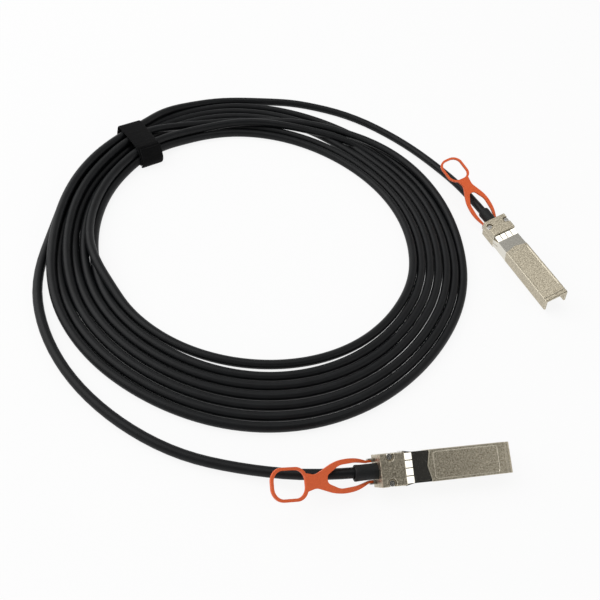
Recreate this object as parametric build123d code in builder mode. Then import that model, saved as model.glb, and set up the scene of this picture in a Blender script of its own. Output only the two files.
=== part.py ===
from build123d import *
from math import asin, cos, degrees, exp, pi, radians, sin, sqrt, tan
import os

# A coiled twin-axial copper cable with a latching plug at each end.
# Millimetres. Z is up from the surface that the cable lies on, X runs along plug A
# towards its nose, and the origin lies under the middle of the two plugs.

# Plug body, in the plug's own frame: X to the nose, Z up, zero at the rear face
# and at the underside of the part that enters the cage
cage_width = 13.4
cage_height = 8.5
plug_length = 61.6
side_wall = 1.0
top_wall = 1.2
fit_gap = 0.05
seat_gap = 0.3

# Back shell, the thicker part that stays outside the cage
back_length = 11.2
back_width = 13.7
back_top = 10.4
back_drop = 1.0
edge_break = 0.35
relief_depth = 0.4
relief_height = 0.5

# Lower shell
tray_end = 48.0
tray_floor = 2.4

# Cable and its sleeve
cable_diameter = 4.7
cable_sides = 12
cable_height = 4.7
boot_diameter = 6.8
boot_out = 10.2
boot_in = 2.3
ferrule_diameter = 6.0
ferrule_length = 2.9
web = 0.5

# Screws in the back shell
screw_x = 4.5
screw_y = 5.45
screw_head_diameter = 2.9
screw_head_height = 1.0
screw_head_edge = 0.25
screw_pocket_diameter = 4.1
screw_pocket_depth = 1.5
screw_shank_diameter = 1.6
screw_hole_gap = 0.1
screw_tip_height = 1.8
cross_width = 0.42
cross_length = 1.7
cross_depth = 0.5

# Front cover details
label_start = 25.0
label_end = 55.4
label_width = 11.3
label_depth = 0.22
label_corner = 1.3
groove_start = 59.1
groove_width = 0.45
groove_depth = 0.35
nose_round = 0.9

# Spring-finger collar, with a shallow chevron for its front edge
collar_end = 23.2
chevron = 1.3
chevron_shoulder = 1.35
sheet = 0.25
collar_sink = 0.3
collar_side_sink = 0.1
finger_width = 2.85
finger_gap = 0.42
finger_tip = 11.5
finger_root = 15.4
finger_rise = 0.75
finger_crown = 0.56
top_fingers = 4
side_fingers = 2

# Release slider
slider_thickness = 0.6
slider_height = 0.55
slider_wide = 10.8
slider_narrow = 5.6
slider_wide_end = 4.0
slider_front = 37.5
prong_slot_width = 3.2
prong_slot_start = 28.0
prong_wedge_length = 1.5
prong_wedge_drop = 0.65
ear_out = 2.9
ear_height = 3.0
ear_thickness = 0.55

# Latch boss, cast on the lower shell between the prongs
boss_start = 32.0
boss_length = 3.6
boss_flat = 0.9
boss_width = 2.4
boss_drop = 1.0
channel_end = 40.0

# Return spring
spring_start = 6.2
spring_length = 4.4
spring_diameter = 2.1
spring_wire = 0.35
spring_turns = 5
spring_sides = 10

# Circuit card
card_start = 17.5
card_end = 58.6
card_width = 10.8
card_nose_width = 9.2
card_nose_start = 49.0
card_thickness = 1.0
card_edge = 0.25
card_height = 3.75
pad_length = 3.4
pad_width = 0.52
pad_pitch = 0.8
pad_count = 10
pad_thickness = 0.06
pad_setback = 0.6
chip_length = 4.4
chip_width = 3.0
chip_height = 1.0
chip_x = 30.0

# Wire pairs
pair_width = 2.4
pair_thickness = 1.0
pair_edge = 0.25
pair_end = 21.0

# Pull tab, drawn flat from its pivot in the ears; a reach is a distance behind the pivot
tab_thickness = 1.3
pivot_x = -1.7
pivot_z = 2.1
peg_diameter = 1.0
peg_gap = 0.05
arm_gap = 0.1
arm_end_width = 1.0
arm_end_reach = 2.2
arm_reaches = (8.0, 17.5)
arm_half_width = 6.95
arm_round = 22.0
neck_reach = 27.8
neck_half_width = 2.6
neck_round = 6.0
neck_flare_reach = 34.5
neck_flare_half_width = 4.2
eye_reaches = (8.0, 16.2)
eye_half_width = 4.85
eye_rounds = (20.0, 8.0, 2.0)
eye_tip_reach = 22.4
eye_tip_half_width = 1.6
ring_reach = 40.2
ring_length = 17.0
ring_width = 13.6
ring_corner = 5.6
ring_wire = 1.25
tab_lean = -0.045

# Where the plugs lie beside the coil, and how far each has rolled onto one lower edge
plug_a_x = -42.7
plug_a_beside_coil = 22.0
plug_a_turn = 0.0
plug_a_roll = 26.0
tab_a_rise = 17.0
plug_b_beside_coil = 23.1
plug_b_y = 57.7
plug_b_turn = -76.0
plug_b_roll = 18.7
tab_b_rise = 23.0

# Coil of the cable, its outer edge squeezed in where the strap holds it
coil_x = -71.3
coil_y = 58.5
coil_inner_radius = 84.7
coil_reach_x = 118.5
coil_reach_y = 123.8
coil_height = 9.8
coil_round = 2.0
strap_squeeze = 11.9
squeeze_spread = 26.0
coil_outline_points = 48

# Hook-and-loop strap round the coil
strap_angle = 129.5
strap_width = 18.0
strap_thickness = 1.2
strap_round = 1.6
strap_lap_length = 19.0
strap_lap_width = 17.0
strap_lap_turn = 5.0

# Corners of the two loose stretches of cable, from the plug to the coil.
# The first corner of each is on the axis of its plug. Each corner is an arc that starts
# at this share of its shorter run.
arc_share = 0.45
tail_a_first = 24.0
tail_a_corners = [
    (-98.3, -80.3, 2.9),
    (-126.3, -69.8, 2.35),
    (-151.3, -50.8, 2.35),
    (-170.8, -26.5, 2.35),
    (-183.0, 2.0, 2.35),
    (-186.8, 32.0, 2.35),
    (-181.8, 61.0, 2.35),
]
tail_b_first = 24.0
tail_b_corners = [
    (54.4, 110.5, 3.4),
    (35.8, 141.0, 2.35),
    (7.7, 167.0, 2.35),
    (-25.8, 179.6, 2.35),
    (-60.5, 178.2, 2.35),
]

os.makedirs("parts", exist_ok=True)

half_cage = cage_width / 2
tray_half = half_cage - side_wall - fit_gap
collar_top = cage_height - collar_sink
collar_half = half_cage - collar_side_sink
body_top = collar_top - sheet - fit_gap
body_half = collar_half - sheet - fit_gap
body_floor = sheet + fit_gap
slot_floor = slider_height - seat_gap
slot_top = slider_height + slider_thickness + seat_gap
spring_side = spring_wire / sqrt(2)
ferrule_start = boot_in + web
cable_end = ferrule_start + ferrule_length
cavity_start = cable_end + seat_gap
screw_places = [(screw_x, -screw_y), (screw_x, screw_y)]
plug_a_y = coil_y - coil_reach_y - plug_a_beside_coil
plug_b_x = coil_x + coil_reach_x + plug_b_beside_coil


def chevron_plan(rear, front):
    """Fills the plan between two stations, with a shallow notch in the front edge."""
    notch = half_cage - chevron_shoulder
    corners = [
        (rear, -back_width),
        (front, -back_width),
        (front, -notch),
        (front - chevron, 0),
        (front, notch),
        (front, back_width),
        (rear, back_width),
    ]
    Polygon(*corners, align=None)


def round_bore(start, end, diameter):
    """Cuts a bore on the cable's axis between two stations."""
    with BuildSketch(Plane.YZ.offset(start)) as bore:
        with Locations((0, cable_height)):
            Circle(diameter / 2)
    extrude(bore.sketch, amount=end - start, mode=Mode.SUBTRACT)


# What is cut from both shells to let the collar in, and a relief in the shoulder
# behind the free ends of its fingers
with BuildPart() as rebate:
    with BuildSketch(Plane.XY.offset(-back_drop)):
        chevron_plan(back_length, collar_end + fit_gap)
    extrude(amount=back_top + back_drop)
    with BuildSketch(Plane.YZ.offset(back_length)):
        with Locations((0, (body_floor + body_top) / 2)):
            Rectangle(2 * body_half, body_top - body_floor)
    extrude(amount=collar_end, mode=Mode.SUBTRACT)
    with BuildSketch(Plane.YZ.offset(back_length)):
        with Locations((0, cage_height / 2)):
            Rectangle(2 * back_width, cage_height + 2 * relief_height)
            Rectangle(cage_width, cage_height, mode=Mode.SUBTRACT)
    extrude(amount=-relief_depth)

with BuildPart() as top_shell:
    with BuildSketch(Plane.XY.offset(cable_height)):
        with Locations((back_length / 2, 0)):
            Rectangle(back_length, back_width)
    extrude(amount=back_top - cable_height)
    chamfer(top_shell.faces().sort_by(Axis.Z)[-1].edges(), edge_break)
    with BuildSketch(Plane.YZ.offset(back_length)):
        with Locations((0, cage_height / 2)):
            Rectangle(cage_width, cage_height)
    extrude(amount=plug_length - back_length)
    front_edges = top_shell.edges().filter_by(Axis.Y).group_by(Axis.X)[-1]
    fillet(front_edges.sort_by(Axis.Z)[-1], nose_round)
    with BuildSketch(Plane.YZ.offset(cavity_start)):
        with Locations((0, (cage_height - top_wall) / 2)):
            Rectangle(cage_width - 2 * side_wall, cage_height - top_wall)
    extrude(amount=plug_length, mode=Mode.SUBTRACT)
    with BuildSketch(Plane.XZ.offset(-cage_width)):
        with Locations((groove_start + groove_width / 2, cage_height)):
            Rectangle(groove_width, 2 * groove_depth)
    extrude(amount=2 * cage_width, mode=Mode.SUBTRACT)
    with BuildSketch(Plane.XY.offset(cage_height - label_depth)):
        with Locations(((label_start + label_end) / 2, 0)):
            RectangleRounded(label_end - label_start, label_width, label_corner)
    extrude(amount=2 * label_depth, mode=Mode.SUBTRACT)
    round_bore(0, boot_in + fit_gap, boot_diameter + 2 * fit_gap)
    round_bore(0, cavity_start, cable_diameter + 2 * seat_gap)
    round_bore(ferrule_start, cavity_start, ferrule_diameter + 2 * fit_gap)
    with BuildSketch(Plane.XY.offset(back_top - screw_pocket_depth)):
        with Locations(*screw_places):
            Circle(screw_pocket_diameter / 2)
    extrude(amount=2 * screw_pocket_depth, mode=Mode.SUBTRACT)
    with BuildSketch(Plane.XY):
        with Locations(*screw_places):
            Circle(screw_shank_diameter / 2 + screw_hole_gap)
    extrude(amount=back_top, mode=Mode.SUBTRACT)
    add(rebate.part, mode=Mode.SUBTRACT)

with BuildPart() as bottom_shell:
    with BuildSketch(Plane.XY.offset(-back_drop)):
        with Locations((back_length / 2, 0)):
            Rectangle(back_length, back_width)
    extrude(amount=back_drop + cable_height)
    chamfer(bottom_shell.faces().sort_by(Axis.Z)[0].edges(), edge_break)
    with BuildSketch(Plane.YZ.offset(back_length)):
        with Locations((0, card_height / 2)):
            Rectangle(2 * tray_half, card_height)
    extrude(amount=tray_end - back_length)
    with BuildSketch(Plane.XY.offset(tray_floor)):
        with Locations(((cavity_start + plug_length) / 2, 0)):
            Rectangle(plug_length - cavity_start, 2 * (tray_half - side_wall))
    extrude(amount=back_top, mode=Mode.SUBTRACT)
    round_bore(0, boot_in + fit_gap, boot_diameter + 2 * fit_gap)
    round_bore(0, cavity_start, cable_diameter + 2 * seat_gap)
    round_bore(ferrule_start, cavity_start, ferrule_diameter + 2 * fit_gap)
    with BuildSketch(Plane.XY.offset(screw_tip_height - seat_gap)):
        with Locations(*screw_places):
            Circle(screw_shank_diameter / 2 + fit_gap)
    extrude(amount=cable_height, mode=Mode.SUBTRACT)
    with BuildSketch(Plane.XY.offset(slot_floor)):
        with Locations((slider_wide_end / 2, 0)):
            Rectangle(slider_wide_end + 2 * seat_gap, slider_wide + 2 * seat_gap)
        with Locations((collar_end / 2, 0)):
            Rectangle(collar_end, slider_narrow + 2 * seat_gap)
    extrude(amount=slot_top - slot_floor, mode=Mode.SUBTRACT)
    with BuildSketch(Plane.XY):
        with Locations(((back_length + channel_end) / 2, 0)):
            Rectangle(channel_end - back_length, slider_narrow + 2 * seat_gap)
    extrude(amount=slot_top, mode=Mode.SUBTRACT)
    with BuildSketch(Plane.XZ.offset(-boss_width / 2)):
        with BuildLine():
            Polyline(
                (boss_start, slot_top),
                (boss_start, -boss_drop),
                (boss_start + boss_flat, -boss_drop),
                (boss_start + boss_length, 0),
                (boss_start + boss_length, slot_top),
                close=True,
            )
        make_face()
    extrude(amount=boss_width)
    with BuildSketch(Plane.YZ.offset(spring_start - seat_gap)):
        with Locations((0, slider_height + slider_thickness / 2)):
            Circle(spring_diameter / 2 + seat_gap)
    extrude(amount=spring_length + 2 * seat_gap, mode=Mode.SUBTRACT)
    add(rebate.part, mode=Mode.SUBTRACT)

# One spring finger, drawn on a sheet whose outer face is at height zero
with BuildPart() as spring_finger:
    with BuildSketch(Plane.XZ):
        with BuildLine():
            outer = ThreePointArc(
                (finger_root, 0),
                ((finger_root + finger_tip) / 2, finger_crown),
                (finger_tip, finger_rise),
            )
            inner = ThreePointArc(
                (finger_tip, finger_rise - sheet),
                ((finger_root + finger_tip - sheet) / 2, finger_crown - sheet),
                (finger_root - 2 * sheet, -sheet),
            )
            Line(outer @ 1, inner @ 0)
            Line(inner @ 1, outer @ 0)
        make_face()
    extrude(amount=finger_width / 2, both=True)

finger_step = finger_width + finger_gap
top_row = [(place - (top_fingers - 1) / 2) * finger_step for place in range(top_fingers)]
side_row = [(place - (side_fingers - 1) / 2) * finger_step for place in range(side_fingers)]
with BuildPart() as emi_collar:
    with BuildSketch(Plane.XY):
        chevron_plan(finger_root - 2 * sheet, collar_end)
    extrude(amount=collar_top)
    with BuildSketch(Plane.YZ):
        with Locations((0, collar_top / 2)):
            Rectangle(2 * collar_half, collar_top)
            Rectangle(2 * (collar_half - sheet), collar_top - 2 * sheet, mode=Mode.SUBTRACT)
    extrude(amount=2 * collar_end, mode=Mode.INTERSECT)
    for across in top_row:
        with Locations((0, across, collar_top)):
            add(spring_finger.part)
        with Locations(Location((0, across, 0), (180, 0, 0))):
            add(spring_finger.part)
    for across in side_row:
        with Locations(Location((0, collar_half, collar_top / 2 + across), (-90, 0, 0))):
            add(spring_finger.part)
        with Locations(Location((0, -collar_half, collar_top / 2 + across), (90, 0, 0))):
            add(spring_finger.part)

screw_head_top = back_top - screw_pocket_depth + screw_head_height
with BuildPart() as screws:
    with BuildSketch(Plane.XY.offset(back_top - screw_pocket_depth)):
        with Locations(*screw_places):
            Circle(screw_head_diameter / 2)
    extrude(amount=screw_head_height)
    chamfer(screws.faces().sort_by(Axis.Z)[-2:].edges(), screw_head_edge)
    with BuildSketch(Plane.XY.offset(screw_tip_height)):
        with Locations(*screw_places):
            Circle(screw_shank_diameter / 2)
    extrude(amount=back_top - screw_pocket_depth - screw_tip_height)
    with BuildSketch(Plane.XY.offset(screw_head_top - cross_depth)):
        with Locations(*screw_places):
            Rectangle(cross_length, cross_width, rotation=45)
            Rectangle(cross_width, cross_length, rotation=45)
    extrude(amount=2 * cross_depth, mode=Mode.SUBTRACT)

with BuildPart() as boot:
    with BuildSketch(Plane.YZ.offset(-boot_out)):
        with Locations((0, cable_height)):
            Circle(boot_diameter / 2)
            Circle(cable_diameter / 2, mode=Mode.SUBTRACT)
    extrude(amount=boot_out + boot_in)
    outer_rim = boot.faces().sort_by(Axis.X)[0].edges().sort_by(SortBy.LENGTH)[-1]
    chamfer(outer_rim, edge_break)

with BuildPart() as crimp_ferrule:
    with BuildSketch(Plane.YZ.offset(ferrule_start)):
        with Locations((0, cable_height)):
            RegularPolygon(ferrule_diameter / 2, 6)
            Circle(cable_diameter / 2, mode=Mode.SUBTRACT)
    extrude(amount=ferrule_length)

with BuildPart() as release_slider:
    with BuildSketch(Plane.XY.offset(slider_height)):
        with Locations(((slider_wide_end - ear_out) / 2, 0)):
            Rectangle(slider_wide_end + ear_out, slider_wide)
        with Locations((slider_front / 2, 0)):
            Rectangle(slider_front, slider_narrow)
        with Locations((-ear_out, 0)):
            Rectangle(2 * ear_out, boot_diameter + 2 * seat_gap, mode=Mode.SUBTRACT)
        with Locations(((prong_slot_start + slider_front + seat_gap) / 2, 0)):
            Rectangle(
                slider_front + seat_gap - prong_slot_start,
                prong_slot_width,
                mode=Mode.SUBTRACT,
            )
        with Locations((spring_start + spring_length / 2, 0)):
            Rectangle(
                spring_length + 2 * seat_gap,
                spring_diameter + 2 * seat_gap,
                mode=Mode.SUBTRACT,
            )
    extrude(amount=slider_thickness)
    for side in (-1, 1):
        prong_middle = side * (slider_narrow + prong_slot_width) / 4
        prong_width = (slider_narrow - prong_slot_width) / 2
        with BuildSketch(Plane.XZ.offset(prong_middle - prong_width / 2)):
            with BuildLine():
                Polyline(
                    (slider_front - prong_wedge_length, slider_height),
                    (slider_front - seat_gap, slider_height - prong_wedge_drop),
                    (slider_front, slider_height - prong_wedge_drop),
                    (slider_front, slider_height),
                    close=True,
                )
            make_face()
        extrude(amount=prong_width)
        ear_middle = side * (slider_wide - ear_thickness) / 2
        with BuildSketch(Plane.XZ.offset(ear_middle - ear_thickness / 2)):
            with Locations(((-ear_out - seat_gap) / 2, (slider_height + ear_height) / 2)):
                Rectangle(ear_out - seat_gap, ear_height - slider_height)
            with Locations((pivot_x, pivot_z)):
                Circle(peg_diameter / 2 + peg_gap, mode=Mode.SUBTRACT)
        extrude(amount=ear_thickness)

# The spring is wound from square wire, in short straight runs along its helix
spring_runs = spring_turns * spring_sides
spring_radius = (spring_diameter - spring_wire) / 2
spring_points = []
for run in range(spring_runs + 1):
    along = spring_start + spring_wire / 2 + (spring_length - spring_wire) * run / spring_runs
    angle = 2 * pi * run / spring_sides
    height = slider_height + slider_thickness / 2 + spring_radius * sin(angle)
    spring_points.append((along, spring_radius * cos(angle), height))
with BuildPart() as return_spring:
    with BuildLine() as spring_line:
        Polyline(*spring_points)
    with BuildSketch(Plane(origin=spring_line.line @ 0, z_dir=spring_line.line % 0)):
        Rectangle(spring_side, spring_side)
    sweep(transition=Transition.RIGHT)

with BuildPart() as circuit_card:
    with BuildSketch(Plane.XY.offset(card_height)):
        with Locations(((card_start + card_nose_start) / 2, 0)):
            Rectangle(card_nose_start - card_start, card_width)
        with Locations(((card_start + card_end) / 2, 0)):
            Rectangle(card_end - card_start, card_nose_width)
    extrude(amount=card_thickness)
    chamfer(circuit_card.faces().sort_by(Axis.X)[-1].edges().filter_by(Axis.Y), card_edge)

with BuildPart() as contact_pads:
    pad_middle = card_end - pad_setback - pad_length / 2
    for level in (card_height - pad_thickness, card_height + card_thickness):
        with BuildSketch(Plane.XY.offset(level)):
            with Locations((pad_middle, 0)):
                with GridLocations(pad_pitch, pad_pitch, 1, pad_count):
                    Rectangle(pad_length, pad_width)
        extrude(amount=pad_thickness)

with BuildPart() as memory_chip:
    with BuildSketch(Plane.XY.offset(card_height + card_thickness)):
        with Locations((chip_x, 0)):
            Rectangle(chip_length, chip_width)
    extrude(amount=chip_height)

with BuildPart() as wire_pairs:
    upper = card_height + card_thickness + seat_gap + pair_thickness / 2
    lower = card_height - seat_gap - pair_thickness / 2
    with BuildSketch(Plane.YZ.offset(cavity_start)):
        with Locations((0, lower), (0, upper)):
            pair_section = Rectangle(pair_width, pair_thickness)
        chamfer(pair_section.vertices(), pair_edge)
    extrude(amount=pair_end - cavity_start)


def leaned(reach, side):
    """A point of the tab's plan. The tab leans to one side as it runs back."""
    return (-reach, side + tab_lean * reach)


ear_inner = slider_wide / 2 - ear_thickness
arm_outer = ear_inner - arm_gap
arm_inner = arm_outer - arm_end_width
outer_corners = [
    (arm_end_reach, arm_outer),
    (arm_reaches[0], arm_half_width),
    (arm_reaches[1], arm_half_width),
    (neck_reach, neck_half_width),
    (neck_flare_reach, neck_flare_half_width),
]
outer_rounds = [arm_round, arm_round, neck_round]
eye_corners = [
    (arm_end_reach, arm_inner),
    (eye_reaches[0], eye_half_width),
    (eye_reaches[1], eye_half_width),
    (eye_tip_reach, eye_tip_half_width),
]
with BuildPart() as pull_tab:
    with BuildSketch(Plane.XY.offset(-tab_thickness / 2)):
        with BuildLine():
            left_points = [leaned(reach, side) for reach, side in outer_corners]
            right_points = [leaned(reach, -side) for reach, side in outer_corners]
            left = FilletPolyline(*left_points, radius=outer_rounds)
            right = FilletPolyline(*right_points, radius=outer_rounds)
            Line(left @ 0, right @ 0)
            Line(left @ 1, right @ 1)
        make_face()
        with Locations(leaned(ring_reach, 0)):
            RectangleRounded(ring_length, ring_width, ring_corner)
        with Locations(leaned(ring_reach, 0)):
            RectangleRounded(
                ring_length - 2 * ring_wire,
                ring_width - 2 * ring_wire,
                ring_corner - ring_wire,
                mode=Mode.SUBTRACT,
            )
        with BuildLine():
            there = [leaned(reach, side) for reach, side in eye_corners]
            back = [leaned(reach, -side) for reach, side in reversed(eye_corners)]
            edge = FilletPolyline(*there, *back, radius=[*eye_rounds, *reversed(eye_rounds)])
            Line(edge @ 1, edge @ 0)
        make_face(mode=Mode.SUBTRACT)
        for side in (-1, 1):
            arm_middle = side * (arm_outer + arm_inner) / 2
            with Locations((-arm_end_reach / 2, arm_middle)):
                Rectangle(arm_end_reach, arm_end_width)
    extrude(amount=tab_thickness)
    with BuildSketch(Plane.XZ):
        Circle(tab_thickness / 2)
    extrude(amount=arm_outer, both=True)
    with BuildSketch(Plane.XZ):
        Circle(peg_diameter / 2)
    extrude(amount=slider_wide / 2, both=True)
    with BuildSketch(Plane.XZ):
        Circle(tab_thickness)
    extrude(amount=arm_inner, both=True, mode=Mode.SUBTRACT)


def plug_plane(x, y, turn, roll):
    """The plug's frame on the surface, rolled about its length until one lower edge rests."""
    rim = back_width / 2 - edge_break
    height = rim * sin(radians(roll)) + back_drop * cos(radians(roll))
    ahead = Vector(cos(radians(turn)), sin(radians(turn)), 0)
    lean = Vector(
        sin(radians(turn)) * sin(radians(roll)),
        -cos(radians(turn)) * sin(radians(roll)),
        cos(radians(roll)),
    )
    return Plane(origin=(x, y, height), x_dir=ahead, z_dir=lean)


def tab_plane(rise):
    """The tab's frame in the plug's frame, swung up about the pegs."""
    ahead = (cos(radians(rise)), 0, -sin(radians(rise)))
    up = (sin(radians(rise)), 0, cos(radians(rise)))
    return Plane(origin=(pivot_x, 0, pivot_z), x_dir=ahead, z_dir=up)


def route_path(points):
    """Straight runs joined by the largest tangent arcs that the runs allow."""
    radii = []
    for before, here, after in zip(points, points[1:], points[2:]):
        turn = (here - before).get_angle(after - here)
        run = min((here - before).length, (after - here).length)
        radii.append(arc_share * run / tan(radians(turn / 2)))
    return radii


def axis_point(place, station):
    """A point on the cable's axis in a plug."""
    return place.from_local_coords(Vector(station, 0, cable_height))


plug_a = plug_plane(plug_a_x, plug_a_y, plug_a_turn, plug_a_roll)
plug_b = plug_plane(plug_b_x, plug_b_y, plug_b_turn, plug_b_roll)
routes = {
    "cable_tail_a": [axis_point(plug_a, cable_end), axis_point(plug_a, -tail_a_first)]
    + [Vector(*corner) for corner in tail_a_corners],
    "cable_tail_b": [axis_point(plug_b, cable_end), axis_point(plug_b, -tail_b_first)]
    + [Vector(*corner) for corner in tail_b_corners],
}

plug_pieces = {
    "top_shell": top_shell,
    "bottom_shell": bottom_shell,
    "emi_collar": emi_collar,
    "screws": screws,
    "boot": boot,
    "crimp_ferrule": crimp_ferrule,
    "release_slider": release_slider,
    "return_spring": return_spring,
    "circuit_card": circuit_card,
    "contact_pads": contact_pads,
    "memory_chip": memory_chip,
    "wire_pairs": wire_pairs,
}
for suffix, place, rise in (("a", plug_a, tab_a_rise), ("b", plug_b, tab_b_rise)):
    for name, piece in plug_pieces.items():
        placed = piece.part.moved(place.location)
        placed.label = f"{name}_{suffix}"
        export_step(placed, f"parts/{name}_{suffix}.step")
    placed = pull_tab.part.moved(place.location * tab_plane(rise).location)
    placed.label = f"pull_tab_{suffix}"
    export_step(placed, f"parts/pull_tab_{suffix}.step")

for name, points in routes.items():
    radii = route_path(points)
    with BuildPart() as tail:
        with BuildLine() as route:
            FilletPolyline(*points, radius=radii)
        with BuildSketch(Plane(origin=route.line @ 0, z_dir=route.line % 0)) as section:
            RegularPolygon(cable_diameter / 2, cable_sides)
        sweep()
    length = route.wire().length
    share = tail.part.volume / (section.sketch.area * length)
    print(name, "length", round(length, 1), "radii", [round(radius) for radius in radii])
    print(name, "volume over section times length", round(share, 4))
    tail.part.label = name
    export_step(tail.part, f"parts/{name}.step")


def coil_edge(angle, reach_x, reach_y, squeeze):
    """Radius of the coil's edge: an ellipse, drawn in round the strap by a bell curve."""
    ellipse = 1 / sqrt((cos(radians(angle)) / reach_x) ** 2 + (sin(radians(angle)) / reach_y) ** 2)
    off = (angle - strap_angle + 180) % 360 - 180
    return ellipse - squeeze * exp(-((off / squeeze_spread) ** 2))


def coil_outline(reach_x, reach_y, squeeze):
    """Points round one edge of the coil, evenly spaced in angle."""
    points = []
    for place in range(coil_outline_points):
        angle = 360 * place / coil_outline_points
        radius = coil_edge(angle, reach_x, reach_y, squeeze)
        points.append((radius * cos(radians(angle)), radius * sin(radians(angle))))
    return points


strap_bed = strap_thickness + seat_gap
strap_plane = Plane(
    origin=(coil_x, coil_y, 0),
    x_dir=(cos(radians(strap_angle)), sin(radians(strap_angle)), 0),
    z_dir=(0, 0, 1),
)
with BuildPart() as cable_coil:
    with BuildSketch(Plane(origin=(coil_x, coil_y, 0))):
        with BuildLine():
            Polyline(*coil_outline(coil_reach_x, coil_reach_y, strap_squeeze), close=True)
        make_face()
        with BuildLine():
            round_edge = coil_outline(coil_inner_radius, coil_inner_radius, 0)
            Polyline(*round_edge, close=True)
        make_face(mode=Mode.SUBTRACT)
    extrude(amount=coil_height)
    levels = cable_coil.edges().group_by(Axis.Z)
    chamfer(levels[0] + levels[-1], coil_round)
    with BuildSketch(strap_plane):
        with Locations((coil_inner_radius, 0)):
            Rectangle(coil_inner_radius, strap_width + 2 * seat_gap)
    extrude(amount=strap_bed, mode=Mode.SUBTRACT)
cable_coil.part.label = "cable_coil"
export_step(cable_coil.part, "parts/cable_coil.step")


def edge_under_strap(reach_x, reach_y, squeeze):
    """How far the coil's edge reaches at the two sides and the middle of the strap."""
    side = degrees(asin(strap_width / 2 / coil_inner_radius))
    reaches = []
    for turn in (-side, 0, side):
        radius = coil_edge(strap_angle + turn, reach_x, reach_y, squeeze)
        reaches.append(radius * cos(radians(turn)))
    return reaches


strap_inside = min(edge_under_strap(coil_inner_radius, coil_inner_radius, 0)) - seat_gap
strap_outside = max(edge_under_strap(coil_reach_x, coil_reach_y, strap_squeeze)) + seat_gap
strap_span = strap_outside - strap_inside
strap_top = coil_height + seat_gap + strap_thickness
strap_section = Plane(
    origin=strap_plane.from_local_coords(Vector(0, strap_width / 2, 0)),
    x_dir=strap_plane.x_dir,
    z_dir=-strap_plane.y_dir,
)
with BuildPart() as coil_strap:
    with BuildSketch(strap_section):
        with Locations(((strap_inside + strap_outside) / 2, strap_top / 2)):
            RectangleRounded(strap_span + 2 * strap_thickness, strap_top, strap_round)
            RectangleRounded(
                strap_span,
                strap_top - 2 * strap_thickness,
                strap_round - strap_thickness,
                mode=Mode.SUBTRACT,
            )
    extrude(amount=strap_width)
    with BuildSketch(strap_plane.offset(strap_top)):
        with Locations((strap_inside + strap_lap_length / 2 + strap_thickness, 0)):
            Rectangle(strap_lap_length, strap_lap_width, rotation=strap_lap_turn)
    extrude(amount=strap_thickness)
coil_strap.part.label = "coil_strap"
export_step(coil_strap.part, "parts/coil_strap.step")
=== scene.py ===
# %% [markdown]
# # A coiled network cable with a metal plug at each end
#
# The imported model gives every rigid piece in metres, in one frame: +Z is up, +X runs along
# plug A to its nose, and the cable lies on the plane z = 0. This lesson dresses that frame.
# Each step says what the piece is on the real product, how it could be made, and why it is
# made this way here.

from math import radians

import bmesh
import bpy
import numpy as np
from mathutils import Matrix, Vector


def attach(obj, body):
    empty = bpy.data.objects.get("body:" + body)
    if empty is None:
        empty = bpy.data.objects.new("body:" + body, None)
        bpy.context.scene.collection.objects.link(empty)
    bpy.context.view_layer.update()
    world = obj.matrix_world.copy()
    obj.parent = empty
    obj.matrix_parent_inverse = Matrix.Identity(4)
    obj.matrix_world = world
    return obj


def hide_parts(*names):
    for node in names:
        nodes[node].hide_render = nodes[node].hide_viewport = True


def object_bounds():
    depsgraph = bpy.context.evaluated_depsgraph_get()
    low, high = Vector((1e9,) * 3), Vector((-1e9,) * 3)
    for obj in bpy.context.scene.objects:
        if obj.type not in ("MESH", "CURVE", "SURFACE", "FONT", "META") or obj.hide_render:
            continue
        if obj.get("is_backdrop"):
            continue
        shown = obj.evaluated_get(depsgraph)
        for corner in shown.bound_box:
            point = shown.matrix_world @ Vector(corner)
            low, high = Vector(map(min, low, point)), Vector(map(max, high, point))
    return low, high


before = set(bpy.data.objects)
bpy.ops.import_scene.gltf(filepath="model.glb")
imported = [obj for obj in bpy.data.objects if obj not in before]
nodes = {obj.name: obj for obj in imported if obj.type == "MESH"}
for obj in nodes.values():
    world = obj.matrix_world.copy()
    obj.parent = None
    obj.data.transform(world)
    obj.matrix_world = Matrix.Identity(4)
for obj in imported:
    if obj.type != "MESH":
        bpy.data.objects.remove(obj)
cad_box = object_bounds()
mm = 0.001
print("nodes:", len(nodes), "CAD box in mm:", (np.array(cad_box) / mm).round(1).tolist())

# %% [markdown]
# ## Colour
#
# Colours are written as the hex values that a screen shows. Blender's shaders work in linear
# light, so one function undoes the screen's curve: a channel up to 0.04045 is divided by
# 12.92, and above that it is ((c + 0.055) / 1.055) to the power 2.4.


# %% Hex colours
def hex_colour(code):
    """The linear red, green, blue and alpha of a screen colour such as 'ff8800'."""
    screen = np.array([int(code[i : i + 2], 16) / 255 for i in (0, 2, 4)])
    low = screen / 12.92
    high = ((screen + 0.055) / 1.055) ** 2.4
    return (*np.where(screen <= 0.04045, low, high).tolist(), 1.0)


print("mid grey in linear light:", round(hex_colour("808080")[0], 3))

# %% [markdown]
# ## Camera
#
# The photograph was taken from about fifty degrees above, over the near left side, with
# the camera tipped sideways by about fourteen degrees. Its place came from fitting a
# pinhole camera to the plug's known 13.4 mm section and the round coil, so the camera is
# written as two of the directions that were measured: its right and its up. The third,
# its view direction, is square to both. A track-to constraint could aim it, but a
# tipped camera needs its own axes.

# %% Place the camera
camera_place = np.array([-138.77, -204.13, 271.51]) * mm
camera_right = np.array([0.9719, -0.1798, 0.1520])
camera_up = np.array([0.0448, 0.7749, 0.6305])
focal_length_mm = 41.14
sensor_mm = 36.0


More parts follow.
